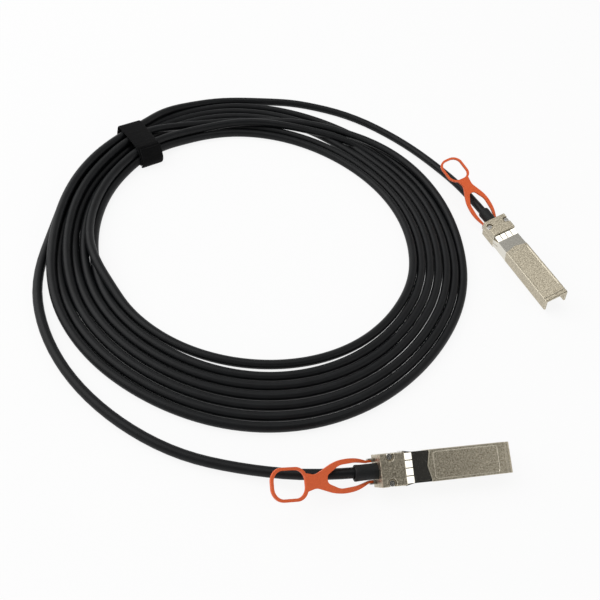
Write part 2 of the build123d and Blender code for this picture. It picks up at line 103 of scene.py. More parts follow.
def place_camera():
    """A camera looks along its own -Z, so its third axis is right crossed with up."""
    right = camera_right / np.linalg.norm(camera_right)
    back = np.cross(right, camera_up)
    back /= np.linalg.norm(back)
    up = np.cross(back, right)
    turn = Matrix(np.column_stack([right, up, back]).tolist()).to_4x4()
    lens = bpy.data.cameras.new("camera")
    lens.lens = focal_length_mm
    lens.sensor_width = sensor_mm
    lens.sensor_fit = "HORIZONTAL"
    lens.clip_start = 0.01
    camera = bpy.data.objects.new("camera", lens)
    camera.matrix_world = Matrix.Translation(Vector(camera_place)) @ turn
    bpy.context.scene.collection.objects.link(camera)
    bpy.context.scene.camera = camera
    return camera


camera = place_camera()
print("camera height above the table in mm:", round(camera.matrix_world.translation.z / mm, 1))

# %% [markdown]
# ## Small helpers
#
# A few helpers keep the later cells short. The first adds a shader node, sets its plain
# values and links its inputs. The next four make a material round a Principled shader,
# give it a fine pattern, and turn a pattern into relief or colour. The last two number
# the faces of a grid of points, and make such points and faces a mesh that rides on
# the plugs' body.


# %% Node and mesh helpers
def add_node(material, kind, settings=None, inputs=None, links=None):
    """Adds one shader node. settings are its properties, inputs its socket values, and
    links maps its socket names to the output sockets that feed them."""
    node = material.node_tree.nodes.new(kind)
    for name, value in (settings or {}).items():
        setattr(node, name, value)
    for name, value in (inputs or {}).items():
        node.inputs[name].default_value = value
    for name, output in (links or {}).items():
        material.node_tree.links.new(output, node.inputs[name])
    return node


def new_material(name, base, roughness, metallic=0.0):
    """A material with one Principled shader, whose plain values are set on its sockets."""
    material = bpy.data.materials.new(name)
    material.use_nodes = True
    shader = material.node_tree.nodes["Principled BSDF"]
    shader.inputs["Base Color"].default_value = hex_colour(base)
    shader.inputs["Roughness"].default_value = roughness
    shader.inputs["Metallic"].default_value = metallic
    return material, shader


def noise(material, place, feature_mm, detail=2.0, roughness=0.5):
    """A noise pattern at the given place, with features about feature_mm across."""
    pattern = add_node(
        material,
        "ShaderNodeTexNoise",
        inputs={"Scale": 1 / (feature_mm * mm), "Detail": detail, "Roughness": roughness},
        links={"Vector": place},
    )
    return pattern.outputs["Fac"]


def add_bump(material, shader, height, distance, strength, normal=None):
    """Feeds a height pattern to the shader's normal. distance is the relief in metres, and
    normal, if given, is the direction that the relief stands on."""
    links = {"Height": height} if normal is None else {"Height": height, "Normal": normal}
    bump = add_node(
        material,
        "ShaderNodeBump",
        inputs={"Distance": distance, "Strength": strength},
        links=links,
    )
    material.node_tree.links.new(bump.outputs["Normal"], shader.inputs["Normal"])


def tint(material, shader, pattern, dark, light, low=0.35, high=0.65):
    """Colours the shader from a pattern: dark where it is below low, light above high."""
    ramp = add_node(material, "ShaderNodeValToRGB", links={"Fac": pattern})
    for stop, place, code in zip(ramp.color_ramp.elements, (low, high), (dark, light)):
        stop.position = place
        stop.color = hex_colour(code)
    material.node_tree.links.new(ramp.outputs["Color"], shader.inputs["Base Color"])
    return ramp.outputs["Color"]


def grid_faces(rows, columns, wrap_rows=False, wrap_columns=False):
    """Four-sided faces of a grid of points, row by row. A wrapped side joins its last
    line of points to its first."""
    row = np.arange(rows if wrap_rows else rows - 1)
    column = np.arange(columns if wrap_columns else columns - 1)
    r, c = np.meshgrid(row, column, indexing="ij")
    r2, c2 = (r + 1) % rows, (c + 1) % columns
    corners = [r * columns + c, r * columns + c2, r2 * columns + c2, r2 * columns + c]
    return np.stack(corners, axis=-1).reshape(-1, 4)


def mesh_piece(name, points, faces, material):
    """A smooth mesh object from arrays of points in mm, riding on the plugs' own body."""
    mesh = bpy.data.meshes.new(name)
    mesh.from_pydata((points.reshape(-1, 3) * mm).tolist(), [], faces)
    mesh.polygons.foreach_set("use_smooth", np.ones(len(mesh.polygons), bool))
    mesh.update()
    piece = bpy.data.objects.new(name, mesh)
    bpy.context.scene.collection.objects.link(piece)
    mesh.materials.append(material)
    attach(piece, "cable_and_plugs")
    return piece


print("helpers ready")

# %% [markdown]
# ## Where the plugs lie
#
# Each plug lies on one lower edge, rolled by the stiff cable. The part's source places a
# plug by a point, a turn about the vertical and a roll about its own length. The same
# numbers give its axes here, so that what is added sits exactly on it.


# %% Plug frames
def plug_frame(x, y, turn, roll):
    """The plug's origin in mm, and its three axes: to the nose, across and up. The lower
    edge on the table lies rim mm beside the origin and drop mm below it, so the origin's
    height is rim sin(roll) + drop cos(roll)."""
    turn, roll = radians(turn), radians(roll)
    rim, drop = 6.5, 1.0
    height = rim * np.sin(roll) + drop * np.cos(roll)
    ahead = np.array([np.cos(turn), np.sin(turn), 0.0])
    up = np.array([np.sin(turn) * np.sin(roll), -np.cos(turn) * np.sin(roll), np.cos(roll)])
    return np.array([x, y, height]), np.array([ahead, np.cross(up, ahead), up])


def in_plug(plug, points):
    """Points given as (station, across, height) in a plug's own frame, in the shared frame."""
    origin, axes = plug
    return origin + np.asarray(points, float) @ axes


plugs = {"a": plug_frame(-42.7, -87.3, 0.0, 26.0), "b": plug_frame(70.3, 57.7, -76.0, 18.7)}
# The cable's axis lies this far above a plug's origin, in mm
cable_height = 4.7
print("plug origins in mm:", {name: plug[0].round(1).tolist() for name, plug in plugs.items()})

# %% [markdown]
# ## Cable jacket
#
# The jacket is PVC, extruded over the shielded wires. Extruding gives a satin skin with a
# very fine dust-like grain and no seams, so the highlight is one long soft line. The real
# grain is under 0.1 mm, too fine to show, so it is drawn at 0.5 mm, where it only
# breaks up that line a little.


# %% Extruded PVC jacket
def extruded_jacket():
    """Satin black PVC: a dark base whose tone wavers over some 6 mm, as on handled cable,
    a soft highlight and a faint grain."""
    material, shader = new_material("extruded_pvc_jacket", "0a0b0d", 0.44)
    shader.inputs["Specular IOR Level"].default_value = 0.24
    place = add_node(material, "ShaderNodeTexCoord").outputs["Object"]
    tint(material, shader, noise(material, place, 6.0, detail=3.0), "07080a", "0c0e10")
    add_bump(material, shader, noise(material, place, 0.5), 0.02 * mm, 0.2)
    return material


jacket = extruded_jacket()
print("material:", jacket.name)

# %% [markdown]
# ## The cable's turns
#
# The cable leaves plug A, sweeps round on the table, makes a little over seven turns and
# runs out to plug B. The turns could be a plain spiral, but hand-wound cable never lies
# so: each turn has its own size, turns cross, and where they crowd one rides up on
# the next. So each turn starts from its own radius at nine places round the coil, in
# the order in which the cable runs, and then the turns are settled.

# %% Sizes of the turns
cable_diameter = 4.7
cable_radius = cable_diameter / 2
coil_centre = np.array([-72.57, 54.97])
points_per_turn = 36
whole_turns = 7
entry_angle = 172.0
exit_angle = 84.0

# Radius of each turn in mm, at directions given in degrees from +X
turn_radii = {
    171.0: [105.5, 101.2, 96.4, 91.4, 86.7, 89.0, 98.8, 104.8],
    129.5: [108.3, 103.6, 98.9, 94.2, 89.3, 91.8, 101.2, 107.0],
    108.0: [115.5, 111.0, 106.2, 97.0, 91.0, 94.0, 102.0, 118.5],
    88.0: [120.9, 115.3, 109.7, 98.5, 92.7, 98.0, 104.1, 126.0],
    31.0: [117.0, 105.8, 100.3, 94.9, 89.8, 111.5, 118.2],
    -17.0: [111.6, 102.1, 97.3, 92.5, 87.8, 106.9, 116.4],
    -45.0: [108.3, 98.8, 94.1, 89.4, 84.7, 103.6, 113.0],
    -97.0: [111.8, 101.0, 95.7, 90.3, 83.2, 106.4, 117.2],
    -138.0: [108.9, 98.7, 93.8, 89.0, 84.2, 103.8, 113.8],
}

# Turns that ride over others there, with the height of their centreline in mm
riding_heights = {
    (171.0, 7): 6.6,
    (129.5, 7): 7.6,
    (108.0, 7): 4.2,
    (88.0, 5): 6.5,
    (31.0, 6): 7.0,
}
print(whole_turns, "whole turns of", cable_diameter, "mm cable")

# %% [markdown]
# ## Settling the turns
#
# A cable simulation would need springs and contacts. Here each point only moves in its own
# upright plane through the coil's middle, so it has two coordinates: its distance from the
# middle and its height. Again and again, each point is drawn to its turn's radius, sinks a
# little, is evened out with its neighbours along the cable, and is pushed off the other
# turns in its plane until a diameter lies between them. The strap holds its stretch of
# the turns in a low wide bundle.

# %% Settle the turns
strap_direction = 128.0
strap_floor = 1.7
bundle_height = (strap_floor + cable_radius, 7.9)
bundle_radius = (88.4, 108.8)
bundle_middle = 98.0
strap_half_width = 11.0
# Before they settle, the turns climb like a spiral, and the seventh starts lifted round
# the angle along the cable where it crosses others. Angles are in degrees, heights in mm
rise_per_turn = 1.2
lifted_angle = 360 * 6 + 180 - 31
lifted_spread = 25.0
lifted_height = 9.0
# What one round does: the share of the way that a radius goes to its aim, and the fall
radius_pull = 0.08
fall = 0.12
# The cable is stiff for most of the rounds, and slack for the rest, so that its turns
# end up a diameter apart
stiffness_at_first, stiffness_at_last = 0.25, 0.04
stiff_share = 0.75
pushes_per_round = 3


def along_cable(angles, table):
    """A smooth line through values at given angles along the cable: between two knots the
    value goes from one to the other by (1 - cos(pi t)) / 2, with t from 0 to 1."""
    knots = np.array(
        sorted(
            (360 * turn + (180 - side) % 360, value)
            for side, row in table.items()
            for turn, value in enumerate(row)
        )
    )
    left = np.clip(np.searchsorted(knots[:, 0], angles) - 1, 0, len(knots) - 2)
    span = knots[left + 1, 0] - knots[left, 0]
    share = (1 - np.cos(np.pi * np.clip((angles - knots[left, 0]) / span, 0, 1))) / 2
    return knots[left, 1] * (1 - share) + knots[left + 1, 1] * share


def push_turns_apart(radius, height):
    """Each pair of points j turns apart shares out what is missing from one diameter,
    along the line between them."""
    for turns in range(1, whole_turns + 1):
        ahead = points_per_turn * turns
        below, above = slice(0, len(radius) - ahead), slice(ahead, None)
        across, up = radius[above] - radius[below], height[above] - height[below]
        apart = np.hypot(across, up) + 1e-9
        push = np.clip(cable_diameter - apart, 0, None) / 2 / apart
        radius[above] += push * across
        radius[below] -= push * across
        height[above] += push * up
        height[below] -= push * up


def settle_turns(rounds=400):
    """Direction, radius and height of every point of the turns, in degrees and mm."""
    lowest = {
        side: [riding_heights.get((side, turn), cable_radius) for turn in range(len(row))]
        for side, row in turn_radii.items()
    }
    end_angle = 360 * whole_turns + 180 - exit_angle
    angles = np.arange(180 - entry_angle, end_angle, 360 / points_per_turn)
    aim, floor = along_cable(angles, turn_radii), along_cable(angles, lowest)
    radius = aim.copy()
    lift = lifted_height * np.exp(-(((angles - lifted_angle) / lifted_spread) ** 2))
    height = cable_radius + rise_per_turn * angles / 360 + lift
    off_strap = (180 - angles - strap_direction + 180) % 360 - 180
    strapped = np.abs(np.radians(off_strap)) * bundle_middle < strap_half_width
    for step in range(rounds):
        stiffness = stiffness_at_first if step < stiff_share * rounds else stiffness_at_last
        radius += radius_pull * (aim - radius)
        height -= fall
        for line in (radius, height):
            line[1:-1] += stiffness * (line[2:] + line[:-2] - 2 * line[1:-1])
        for _ in range(pushes_per_round):
            push_turns_apart(radius, height)
        height = np.maximum(height, floor)
        height[strapped] = np.clip(height[strapped], *bundle_height)
        radius[strapped] = np.clip(radius[strapped], *bundle_radius)
    return 180 - angles, radius, height


directions, turn_radius, turn_height = settle_turns()
coil_points = np.column_stack(
    [
        coil_centre[0] + turn_radius * np.cos(np.radians(directions)),
        coil_centre[1] + turn_radius * np.sin(np.radians(directions)),
        turn_height,
    ]
)
print(len(coil_points), "points on the turns, the highest at", turn_height.max().round(2), "mm")

# %% [markdown]
# ## The cable's route
#
# The cable is one NURBS curve with a round bevel, from plug to plug. Its control points are
# the route's own: two on the plug's axis, the corners of the first loose stretch, the
# settled turns, the corners of the second loose stretch, and two on the other plug's axis.
# A smooth spline stays inside its corners, so on the turns the radii are divided by the
# share of it that the spline keeps, 3/4 + 1/4 of the cosine of a step.

# %% Route and curve
# Stations along a plug's axis, in mm: the cable's end in the plug, and a point behind the
# plug that keeps the cable straight as it leaves
seat_station = 5.7
straight_station = -24.0
first_stretch = [
    (-98.3, -80.3, 2.9),
    (-126.3, -69.8, 2.35),
    (-151.3, -50.8, 2.35),
    (-170.8, -26.5, 2.35),
    (-183.0, 2.0, 2.35),
    (-186.8, 32.0, 2.35),
]
second_stretch = [
    (-48.0, 181.0, 2.35),
    (-25.8, 179.6, 2.35),
    (7.7, 167.0, 2.35),
    (35.8, 141.0, 2.35),
    (54.4, 110.5, 3.4),
]
kept_share = 0.75 + 0.25 * np.cos(radians(360 / points_per_turn))
middle = np.append(coil_centre, 0)
widened = middle + (coil_points - middle) * [1 / kept_share, 1 / kept_share, 1]


def on_axis(plug, *stations):
    """Points on the cable's axis in a plug, at stations along it."""
    return in_plug(plug, [(station, 0, cable_height) for station in stations])


route = np.vstack(
    [
        on_axis(plugs["a"], seat_station, straight_station),
        first_stretch,
        widened,
        second_stretch,
        on_axis(plugs["b"], straight_station, seat_station),
    ]
)


def cord_curve(name, points, radius):
    """A NURBS curve of order 3 through the ends of its control points, with a round bevel.
    The bevel is 1 m deep and each point's radius scales it down to the cable's own, so
    that the curve's box, which counts the points' radii, is right too."""
    curve = bpy.data.curves.new(name, "CURVE")
    curve.dimensions = "3D"
    spline = curve.splines.new("NURBS")
    spline.points.add(len(points) - 1)
    places = np.column_stack([points * mm, np.ones(len(points))])
    spline.points.foreach_set("co", places.ravel())
    spline.points.foreach_set("radius", np.full(len(points), radius * mm))
    spline.order_u = 3
    spline.use_endpoint_u = True
    spline.resolution_u = 5
    curve.bevel_depth = 1.0
    curve.bevel_resolution = 6
    curve.use_fill_caps = True
    cord = bpy.data.objects.new(name, curve)
    bpy.context.scene.collection.objects.link(cord)
    return cord


def centreline(curve):
    """Points along a curve's own line in mm, read from the curve with its bevel off."""
    bevel, curve.data.bevel_depth = curve.data.bevel_depth, 0
    bpy.context.view_layer.update()
    graph = bpy.context.evaluated_depsgraph_get()
    mesh = bpy.data.meshes.new_from_object(curve.evaluated_get(graph))
    line = np.empty(len(mesh.vertices) * 3)
    mesh.vertices.foreach_get("co", line)
    bpy.data.meshes.remove(mesh)
    curve.data.bevel_depth = bevel
    bpy.context.view_layer.update()
    return line.reshape(-1, 3) / mm


cable = cord_curve("cable", route, cable_radius)
cable.data.materials.append(jacket)
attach(cable, "cable_and_plugs")
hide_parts("cable_coil", "cable_tail_a", "cable_tail_b")
cable_line = centreline(cable)

# %% [markdown]
# ## Strap
#
# One strap of hook-and-loop tape holds the coil. Tape under tension takes the shortest
# way round the bundle, which is the bundle's convex outline. For every direction round the
# section, the strand that lies farthest that way is found, and the tape's middle passes
# one strand radius, a small gap and half its thickness beyond that strand's centre. The
# outline is then walked at even steps and carries a flat rounded section 14 mm wide.


# %% Woven hook-and-loop tape
def woven_tape():
    """Black nylon tape with a brushed loop face: a fine weave under a dull matte pile."""
    material, shader = new_material("woven_nylon_tape", "070708", 0.92)
    shader.inputs["Sheen Weight"].default_value = 0.03
    shader.inputs["Sheen Roughness"].default_value = 0.6
    shader.inputs["Specular IOR Level"].default_value = 0.12
    place = add_node(material, "ShaderNodeTexCoord").outputs["UV"]
    # The real threads are 0.3 mm apart; they are drawn 0.6 mm apart so that they show
    pile = add_node(
        material,
        "ShaderNodeTexVoronoi",
        inputs={"Scale": 1 / (0.6 * mm), "Randomness": 0.7},
        links={"Vector": place},
    )
    tint(material, shader, pile.outputs["Distance"], "09090a", "040405", 0.1, 0.7)
    add_bump(material, shader, pile.outputs["Distance"], 0.25 * mm, 0.6)
    return material


tape = woven_tape()
print("material:", tape.name)

# %% Section of the bundle under the strap
tape_thickness = 1.2
tape_width = 14.0
tape_gap = 0.15
# Points round the tape's section, and how far from the strap's middle a strand may lie
tape_section_points = 24
bundle_reach = 30.0
strap_slant = radians(116.5)
strap_across = np.array([np.cos(strap_slant), np.sin(strap_slant), 0.0])
strap_along = np.array([-strap_across[1], strap_across[0], 0.0])
strap_middle = np.array([-132.4, 131.9, 0.0])


def strands_under_strap():
    """Centres (across, height) of the cable's points that lie within half the tape's width
    of the strap's plane."""
    offset = cable_line - strap_middle
    near = np.abs(offset @ strap_along) < tape_width / 2
    near &= np.abs(offset @ strap_across) < bundle_reach
    return np.column_stack([offset[near] @ strap_across, cable_line[near, 2]])


def wrapped_outline(centres, reach, samples=720, steps=150):
    """The convex outline round discs, walked at even steps. For a direction d, the farthest
    centre c gives the outline's point c + reach d."""
    angle = np.linspace(0, 2 * np.pi, samples, endpoint=False)
    heading = np.column_stack([np.cos(angle), np.sin(angle)])
    points = centres[np.argmax(centres @ heading.T, axis=0)] + reach * heading
    closed = np.vstack([points, points[:1]])
    walked = np.append(0, np.cumsum(np.linalg.norm(np.diff(closed, axis=0), axis=1)))
    even = np.linspace(0, walked[-1], steps, endpoint=False)
    return np.column_stack([np.interp(even, walked, closed[:, i]) for i in (0, 1)]), walked[-1]


strands = strands_under_strap()
outline, outline_length = wrapped_outline(strands, cable_radius + tape_gap + tape_thickness / 2)
print("strap length in mm:", round(outline_length, 1))


# %% Carry the tape's section round the outline
def tape_surface(path, outward, skew, width, thickness, closed):
    """A tape along a path in the strap's plane. Across the tape, a point is the path plus
    v times the strap's own direction, shifted by the skew, plus w outwards, where (v, w)
    runs round a rectangle with rounded corners."""
    corner = 0.45 * thickness
    turn = np.linspace(0, 2 * np.pi, tape_section_points, endpoint=False)
    turn += np.pi / tape_section_points
    v = np.sign(np.cos(turn)) * (width / 2 - corner) + corner * np.cos(turn)
    w = np.sign(np.sin(turn)) * (thickness / 2 - corner) + corner * np.sin(turn)
    flat = path[:, 0, None] * strap_across + path[:, 1, None] * [0, 0, 1]
    out = outward[:, 0, None] * strap_across + outward[:, 1, None] * [0, 0, 1]
    points = strap_middle + flat[:, None, :] + (v + skew[:, None])[:, :, None] * strap_along
    points = points + w[None, :, None] * out[:, None, :]
    faces = grid_faces(len(path), len(turn), wrap_rows=closed, wrap_columns=True).tolist()
    if not closed:
        numbers = np.arange(len(path) * len(turn)).reshape(len(path), len(turn))
        faces += [numbers[0, ::-1].tolist(), numbers[-1].tolist()]
    return points, faces


def outward_of(path, closed):
    """The direction to the right of a path that runs anticlockwise, from the difference of
    its neighbours."""
    step = np.roll(path, -1, 0) - np.roll(path, 1, 0)
    if not closed:
        step[0], step[-1] = path[1] - path[0], path[-1] - path[-2]
    step /= np.linalg.norm(step, axis=1)[:, None]
    return np.column_stack([step[:, 1], -step[:, 0]])


def tape_uv(piece, path_points, length, width):
    """Puts a UV map on a tape, in metres along it and across it, so that the weave follows
    the tape round its bends."""
    rows = np.repeat(np.linspace(0, length, path_points), tape_section_points)
    columns = np.tile(np.linspace(0, 2 * width, tape_section_points), path_points)
    corner = np.empty(len(piece.data.loops), int)
    piece.data.loops.foreach_get("vertex_index", corner)
    layer = piece.data.uv_layers.new(name="tape")
    places = np.column_stack([rows[corner], columns[corner]]) * mm
    layer.data.foreach_set("uv", places.ravel())


points, faces = tape_surface(
    outline, outward_of(outline, True), np.zeros(len(outline)), tape_width, tape_thickness, True
)
strap = mesh_piece("strap", points, faces, tape)
tape_uv(strap, len(outline), outline_length, tape_width)
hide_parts("coil_strap")
print("strap faces:", len(strap.data.polygons))

# %% [markdown]
# ## The strap's lap
#
# The tape's end is pressed down over its start, a little askew. It is a second short tape
# on the first, one thickness farther out, from the seam on top, over the inner edge and
# down the inner side, where it ends above the table.

# %% Lap of the strap
lap_start = -9.5
lap_length = 11.0
lap_skew = 0.09
lap_gap = 0.1
lap_width = tape_width - 1.0
on_top = outline[:, 1] > strands[:, 1].mean()
seam = int(np.argmin(np.where(on_top, np.abs(outline[:, 0] - lap_start), np.inf)))
lap_steps = int(len(outline) * lap_length / outline_length)
lap_order = np.arange(seam, seam + lap_steps) % len(outline)
lap_outward = outward_of(outline, True)[lap_order]
lap_path = outline[lap_order] + lap_outward * (tape_thickness + lap_gap)
lap_tilt = (np.arange(lap_steps) - lap_steps / 2) * outline_length / len(outline) * lap_skew
points, faces = tape_surface(
    lap_path, lap_outward, lap_tilt, lap_width, tape_thickness, False
)
lap = mesh_piece("strap_lap", points, faces, tape)
tape_uv(lap, lap_steps, lap_length, tape_width)
print("lap faces:", len(lap.data.polygons))

# %% [markdown]
# ## Sleeves
#
# A short sleeve of heat-shrink tube grips the cable where it enters each plug. Warm air
# shrinks it unevenly, so its outer end stands off the cable a little and its wall is
# slightly wavy. A cylinder would look machined, so the sleeve is a surface of revolution
# whose radius changes along it and, a little, round it.


# %% Heat-shrink sleeve
def shrunk_tube():
    """Polyolefin tube shrunk by warm air: dull black with a soft leathery skin."""
    material, shader = new_material("shrunk_polyolefin_tube", "0e0f10", 0.6)
    shader.inputs["Specular IOR Level"].default_value = 0.3
    place = add_node(material, "ShaderNodeTexCoord").outputs["Object"]
    skin = noise(material, place, 0.8, detail=4.0, roughness=0.6)
    tint(material, shader, skin, "0b0c0d", "141516")
    add_bump(material, shader, skin, 0.12 * mm, 0.5)
    return material


# The wall as (station, radius) in mm, from inside the plug to the mouth, where it turns in
sleeve_profile = [
    (2.3, 2.4),
    (2.3, 3.4),
    (1.2, 3.4),
    (0.0, 3.4),
    (-1.5, 3.38),
    (-3.0, 3.34),
    (-4.5, 3.3),
    (-6.0, 3.3),
    (-7.5, 3.34),
    (-8.8, 3.4),
    (-9.6, 3.42),
    (-10.05, 3.3),
    (-10.2, 3.0),
    (-10.15, 2.6),
    (-9.9, 2.35),
]


def sleeve_surface(plug, phase):
    """The profile turned round the cable's axis. At an angle a, the outer wall behind the
    plug is wavy by 0.07 cos(2 a + phase) + 0.04 cos(3 a - 2 phase) mm, more or less so
    along it, and its last 2 mm lean by 0.25 cos(a + phase) mm."""
    station, radius = np.array(sleeve_profile).T
    round_ = np.linspace(0, 2 * np.pi, 48, endpoint=False)
    outside = np.clip((radius - 2.6) / 0.8, 0, 1) * (station < -0.5)
    wave = 0.07 * np.cos(2 * round_ + phase) + 0.04 * np.cos(3 * round_ - 2 * phase)
    r = radius[:, None] + outside[:, None] * wave * (1 + 0.5 * np.sin(station[:, None]))
    across, up = r * np.cos(round_), cable_height + r * np.sin(round_)
    slope = 0.25 * (station < -8)[:, None] * np.cos(round_ + phase)
    own = np.stack([station[:, None] + slope, across, up], axis=-1)
    return in_plug(plug, own), grid_faces(len(station), len(round_), wrap_columns=True).tolist()


sleeve_skin = shrunk_tube()
for name, phase in (("a", 0.4), ("b", 2.1)):
    points, faces = sleeve_surface(plugs[name], phase)
    sleeve = mesh_piece(f"sleeve_{name}", points, faces, sleeve_skin)
    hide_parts(f"boot_{name}")
print("sleeves on", list(plugs))

# %% [markdown]
# ## Pull tabs
#
# Each tab is an orange moulding. The part's source has its exact outline with sharp
# edges, and a moulded edge is never sharp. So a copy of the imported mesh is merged, its
# flat faces are joined into single faces, and a Bevel modifier rounds the edges.


# %% Moulded tab material
def moulded_tab():
    """Injection-moulded orange elastomer: satin, with a fine spark-eroded texture."""
    material, shader = new_material("moulded_orange_elastomer", "e05c20", 0.48)
    place = add_node(material, "ShaderNodeTexCoord").outputs["Object"]
    texture = noise(material, place, 0.35)
    tint(material, shader, texture, "d9541b", "e66426")
    add_bump(material, shader, texture, 0.03 * mm, 0.2)
    return material


tab_finish = moulded_tab()
tab_edge = 0.28


def soft_copy(name, node, body, finish, edge):
    """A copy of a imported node's mesh, merged, with its flat faces joined, rounded edges and
    its own finish, in place of that node. The normals are weighted by area, so that the
    large faces stay flat and only the rounded edges bend the light."""
    mesh = nodes[node].data.copy()
    work = bmesh.new()
    work.from_mesh(mesh)
    bmesh.ops.remove_doubles(work, verts=work.verts, dist=0.002 * mm)
    bmesh.ops.dissolve_limit(work, angle_limit=radians(1), verts=work.verts, edges=work.edges)
    work.to_mesh(mesh)
    work.free()
    mesh.polygons.foreach_set("use_smooth", np.ones(len(mesh.polygons), bool))
    mesh.materials.clear()
    mesh.materials.append(finish)
    piece = bpy.data.objects.new(name, mesh)
    bpy.context.scene.collection.objects.link(piece)
    bevel = piece.modifiers.new("edge", "BEVEL")
    bevel.width = edge * mm
    bevel.segments = 3
    bevel.limit_method = "ANGLE"
    bevel.angle_limit = radians(50)
    piece.modifiers.new("flat_faces", "WEIGHTED_NORMAL").weight = 100
    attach(piece, body)
    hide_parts(node)
    return piece


# The hinge in a plug's own frame and the neck's distance behind it, in mm, and in degrees
# how far each tab rises at rest and how far its ring bends aside and down
pivot = (-1.7, 0.0, 2.1)
neck_reach = 29.0
tab_rises = {"a": 17.0, "b": 23.0}
ring_bends = {"a": (-3.0, 0.0), "b": (5.0, 8.0)}


def bend_ring(tab, plug, rise, aside, down):
    """Bends the soft ring at the neck. A point r mm past the neck keeps r cos(down)
    cos(aside) of its reach, goes r sin(aside) to the side and r sin(down) lower."""
    rise, aside, down = np.radians([rise, aside, down])
    origin, axes = in_plug(plug, [pivot])[0], plug[1]
    back = -np.cos(rise) * axes[0] + np.sin(rise) * axes[2]
    up = np.sin(rise) * axes[0] + np.cos(rise) * axes[2]
    place = np.empty(len(tab.data.vertices) * 3)
    tab.data.vertices.foreach_get("co", place)
    place = place.reshape(-1, 3) / mm
    past = np.clip((place - origin) @ back - neck_reach, 0, None)[:, None]
    shortened = np.cos(down) * np.cos(aside) - 1
    place += past * (shortened * back - np.sin(aside) * axes[1] - np.sin(down) * up)
    tab.data.vertices.foreach_set("co", (place * mm).ravel())
    tab.data.update()


for name, plug in plugs.items():
    tab = soft_copy(
        f"tab_{name}",
        f"pull_tab_{name}",
        f"tab_{name}",
        tab_finish,
        tab_edge,
    )
    bend_ring(tab, plug, tab_rises[name], *ring_bends[name])
    print(tab.name, "faces before the bevel:", len(tab.data.polygons))

# %% [markdown]
# ## Metal finishes
#
# The shells are die-cast zinc with a satin nickel plate, whose cast skin shows as a fine
# speckle. The collar and its fingers are stamped from thin stainless sheet and polished.
# Screws, slider and spring are steel. Every metal keeps the default IOR, and its colour
# is what it reflects straight on.


# %% Plated and stamped metals
def cast_nickel():
    """Satin nickel on cast zinc: warm grey, with a 0.55 mm speckle in colour, gloss and
    height from the cast skin below. A painted highlight brightens the edges: the Bevel node
    turns the normal within 0.4 mm of an edge, and where it leaves the face's own
    normal, by one minus their dot product, the colour goes to a pale cream."""
    material, shader = new_material("nickel_plated_cast_zinc", "b5ab96", 0.4, 1.0)
    place = add_node(material, "ShaderNodeTexCoord").outputs["Object"]
    speckle = noise(material, place, 0.55, detail=3.0, roughness=0.7)
    gloss = add_node(
        material,
        "ShaderNodeMapRange",
        inputs={"From Min": 0.3, "From Max": 0.7, "To Min": 0.3, "To Max": 0.5},
        links={"Value": speckle},
    )
    material.node_tree.links.new(gloss.outputs["Result"], shader.inputs["Roughness"])
    rounded = add_node(material, "ShaderNodeBevel", {"samples": 6}, {"Radius": 0.4 * mm})
    soft = rounded.outputs["Normal"]
    face = add_node(material, "ShaderNodeNewGeometry").outputs["Normal"]
    agree = add_node(
        material,
        "ShaderNodeVectorMath",
        {"operation": "DOT_PRODUCT"},
        links={0: soft, 1: face},
    )
    edge = add_node(
        material,
        "ShaderNodeMapRange",
        inputs={"From Min": 0.99, "From Max": 0.85, "To Min": 0.0, "To Max": 1.0},
        links={"Value": agree.outputs["Value"]},
    )
    skin = tint(material, shader, speckle, "887e6b", "e0d7c1", 0.33, 0.67)
    # Painted highlight: near the edges the colour is mixed towards a pale cream, as if they
    # caught the light
    painted_edge_highlight = add_node(
        material,
        "ShaderNodeMixRGB",
        inputs={"Color2": hex_colour("f6efdd")},
        links={"Fac": edge.outputs["Result"], "Color1": skin},
    )
    material.node_tree.links.new(painted_edge_highlight.outputs["Color"], shader.inputs["Base Color"])
    add_bump(material, shader, speckle, 0.05 * mm, 0.3, soft)
    return material


def worked_metal(name, base, roughness, grain_mm, relief_mm):
    """A worked steel surface: an even colour, and a faint grain that wavers the reflection."""
    material, shader = new_material(name, base, roughness, 1.0)
    place = add_node(material, "ShaderNodeTexCoord").outputs["Object"]
    add_bump(material, shader, noise(material, place, grain_mm), relief_mm * mm, 0.3)
    return material


finishes = {
    "cast_shell": cast_nickel(),
    # Stamped and polished: a mirror, with the slight waviness of thin sheet
    "spring_finger_sheet": worked_metal("polished_stainless_sheet", "dcd8cd", 0.14, 3.0, 0.02),
    # Cold-headed and zinc plated: bright with soft edges
    "screw_steel": worked_metal("zinc_plated_screw_steel", "cfcdc8", 0.25, 0.4, 0.01),
    # Crimped tin-plated copper: dull silver
    "crimp_metal": worked_metal("tinned_crimp_copper", "b9b8b4", 0.4, 0.5, 0.02),
    # Stamped stainless, left as rolled: brushed grey
    "slider_steel": worked_metal("rolled_stainless_strip", "bdbab4", 0.3, 0.6, 0.01),
    # Drawn spring wire: dark and smooth
    "spring_wire": worked_metal("drawn_spring_wire", "9c9a96", 0.22, 0.3, 0.005),
    # Hard gold over nickel, plated on the contact fingers
    "gold_plate": worked_metal("plated_hard_gold", "e3b565", 0.25, 0.3, 0.005),
}
print("metal finishes:", sorted(finishes))

# %% [markdown]
# ## Board, chip and wire pairs
#
# Inside each plug, glass-fibre laminate carries gold contacts and a small memory chip, and
# the cable's pairs end on it in foil. Little of this shows, only through the open nose.


# %% Inner finishes
def dyed_laminate():
    """Green solder mask on glass-fibre laminate: the 0.5 mm weave shows faintly through."""
    material, shader = new_material("solder_masked_laminate", "1d5b3a", 0.35)
    place = add_node(material, "ShaderNodeTexCoord").outputs["Object"]
    weave = add_node(
        material,
        "ShaderNodeTexVoronoi",
        inputs={"Scale": 1 / (0.5 * mm), "Randomness": 0.2},
        links={"Vector": place},
    )
    tint(material, shader, weave.outputs["Distance"], "1a5335", "236645", 0.1, 0.6)
    return material


